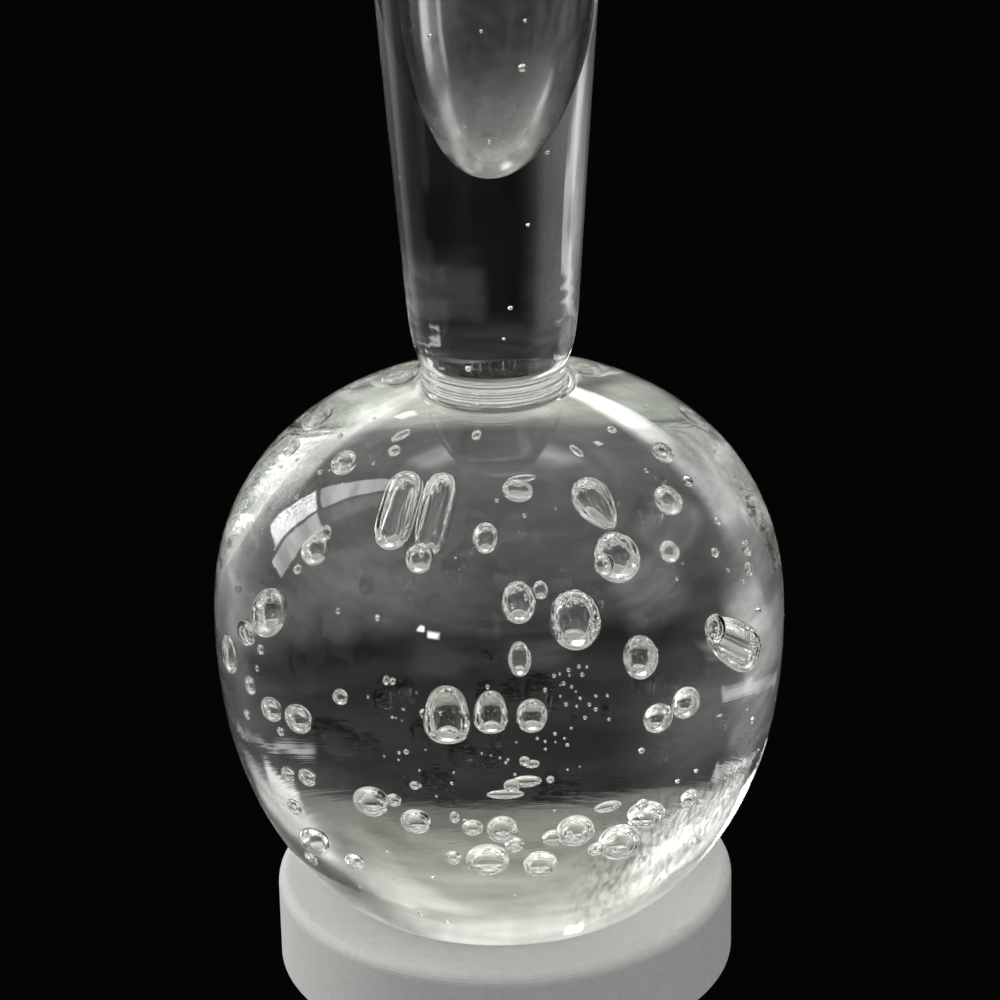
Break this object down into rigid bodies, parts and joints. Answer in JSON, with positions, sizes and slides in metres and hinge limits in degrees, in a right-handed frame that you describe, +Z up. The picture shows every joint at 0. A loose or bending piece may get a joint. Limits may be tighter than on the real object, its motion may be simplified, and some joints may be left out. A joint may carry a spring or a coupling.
{
  "type": "bud vase",
  "caption": "Clear glass bud vase: a solid paperweight ball full of trapped bubbles on a flat base, with a thick tapered neck and a narrow well for one stem.",
  "frame": {"origin": "middle of the flat base, on the surface that the vase stands on", "axes": "+Z up along the neck, -Y towards the viewer of the picture, +X to that viewer's right"},
  "size_m": [0.076, 0.076, 0.18],
  "materials": {
    "clear_glass": "clear hot-worked glass with a faint green-grey tint, fire polished, with a ground base"
  },
  "bodies": {
    "root": {"bubble_core": "clear_glass", "ball_casing": "clear_glass", "weld_collar": "clear_glass", "neck": "clear_glass"}
  },
  "joints": []
}
